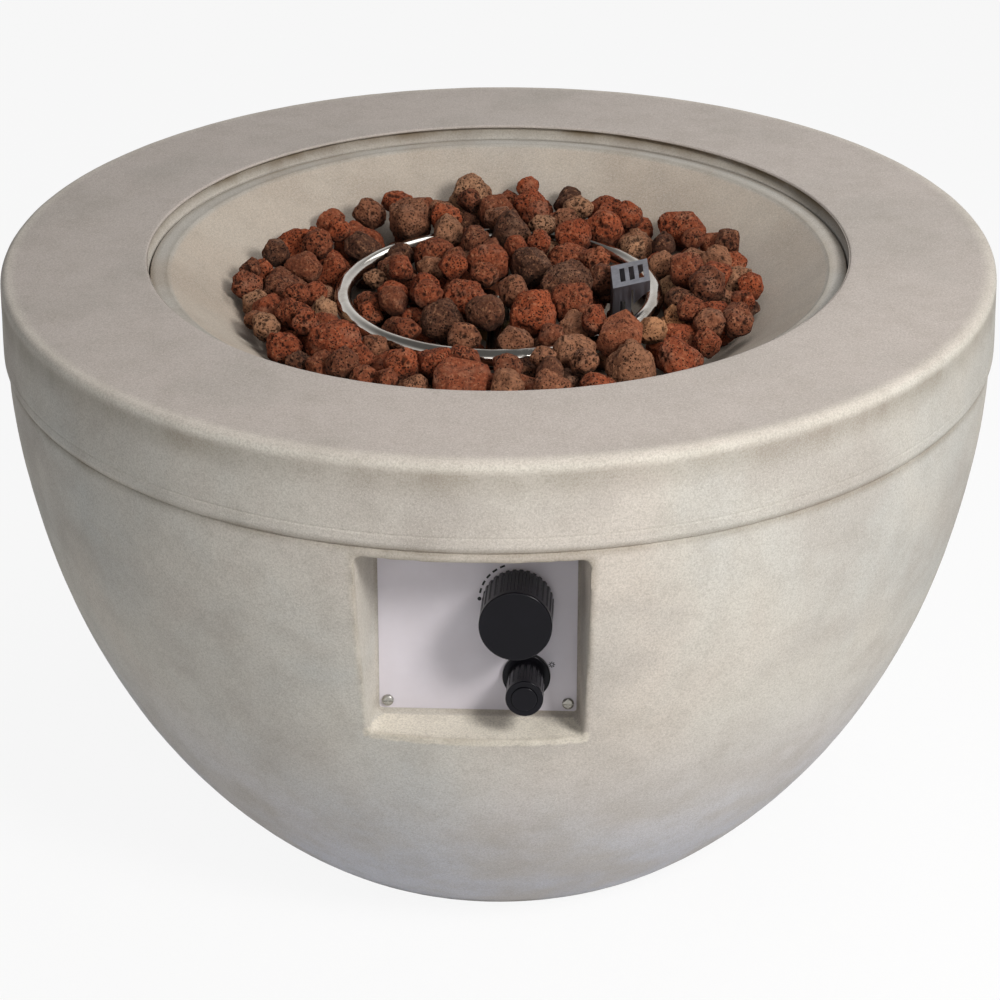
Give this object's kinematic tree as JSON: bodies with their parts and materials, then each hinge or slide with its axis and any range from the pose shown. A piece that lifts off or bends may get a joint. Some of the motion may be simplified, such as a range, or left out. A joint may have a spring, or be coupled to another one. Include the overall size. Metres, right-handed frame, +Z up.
{
  "type": "gas fire pit",
  "caption": "Round cast-concrete gas fire pit with a lava-rock ring burner, spark igniter and a control niche in its front wall.",
  "frame": {"origin": "on the floor under the middle of the bowl", "axes": "+Z up, the control niche faces -Y, +X to the right of someone facing the niche"},
  "size_m": [0.7118, 0.7118, 0.44],
  "materials": {
    "rim_concrete": "matt, mottled cast concrete",
    "bowl_concrete": "matt, mottled cast concrete",
    "dish_concrete": "matt cast concrete, warmer and smoother",
    "burner_steel": "polished stainless tube",
    "sheet_steel": "stainless sheet, slightly heat-stained",
    "zinc_steel": "zinc-plated fasteners",
    "spring_steel": "spring wire",
    "brass": "machined brass",
    "copper": "drawn copper, oxidised",
    "feed_aluminium": "drawn aluminium tube",
    "valve_aluminium": "die-cast valve body",
    "panel_paint": "pale grey satin sheet",
    "black_gloss": "glossy black moulding",
    "black_matte": "satin black moulding",
    "ceramic_white": "unglazed insulator",
    "cell_jacket": "plain battery jacket",
    "lava_rock": "porous red-brown volcanic rock"
  },
  "bodies": {
    "fire_pit": {"bowl_shell": "bowl_concrete", "rim_ring": "rim_concrete", "fire_dish": "dish_concrete", "burner_ring": "burner_steel", "burner_stem": "zinc_steel", "stem_lock_nuts": "brass", "stem_washer": "zinc_steel", "air_mixer": "brass", "gas_orifice": "brass", "tube_nuts": "brass", "gas_feed_tube": "feed_aluminium", "spark_guard": "sheet_steel", "guard_screws": "zinc_steel", "electrode_ceramic": "ceramic_white", "electrode_rod": "spring_steel", "thermocouple": "zinc_steel", "probe_lock_nuts": "zinc_steel", "thermocouple_lead": "copper", "thermocouple_nut": "brass", "control_panel": "panel_paint", "panel_screws": "zinc_steel", "panel_inserts": "brass", "gas_valve": "valve_aluminium", "valve_screws": "zinc_steel", "stem_spring": "spring_steel", "gas_inlet": "brass", "igniter_housing": "black_matte", "igniter_bezel": "black_gloss", "igniter_nut": "black_matte", "igniter_cap": "black_gloss", "battery": "cell_jacket", "cell_spring": "spring_steel", "button_spring": "spring_steel", "igniter_terminals": "brass", "lava_rocks_inside": "lava_rock", "lava_rocks_outside": "lava_rock"},
    "knob_carriage": {"spring_follower": "zinc_steel"},
    "knob": {"control_knob": "black_gloss", "valve_shaft": "brass"},
    "igniter_push": {"igniter_button": "black_gloss"}
  },
  "joints": [
    {"name": "knob_push", "type": "slide", "parent": "fire_pit", "child": "knob_carriage", "axis": [0, 0.9903, -0.1392], "range_m": [0, 0.0035], "stiffness_N_per_m": 900, "springref_m": -0.004, "deforming": ["stem_spring"]},
    {"name": "knob_turn", "type": "hinge", "parent": "knob_carriage", "child": "knob", "pos_m": [0.026, -0.29556, 0.31159], "axis": [0, -0.9903, 0.1392], "range_deg": [0, 240]},
    {"name": "igniter_press", "type": "slide", "parent": "fire_pit", "child": "igniter_push", "axis": [0, 0.9903, -0.1392], "range_m": [0, 0.003], "stiffness_N_per_m": 1200, "springref_m": -0.003, "deforming": ["button_spring"]}
  ]
}
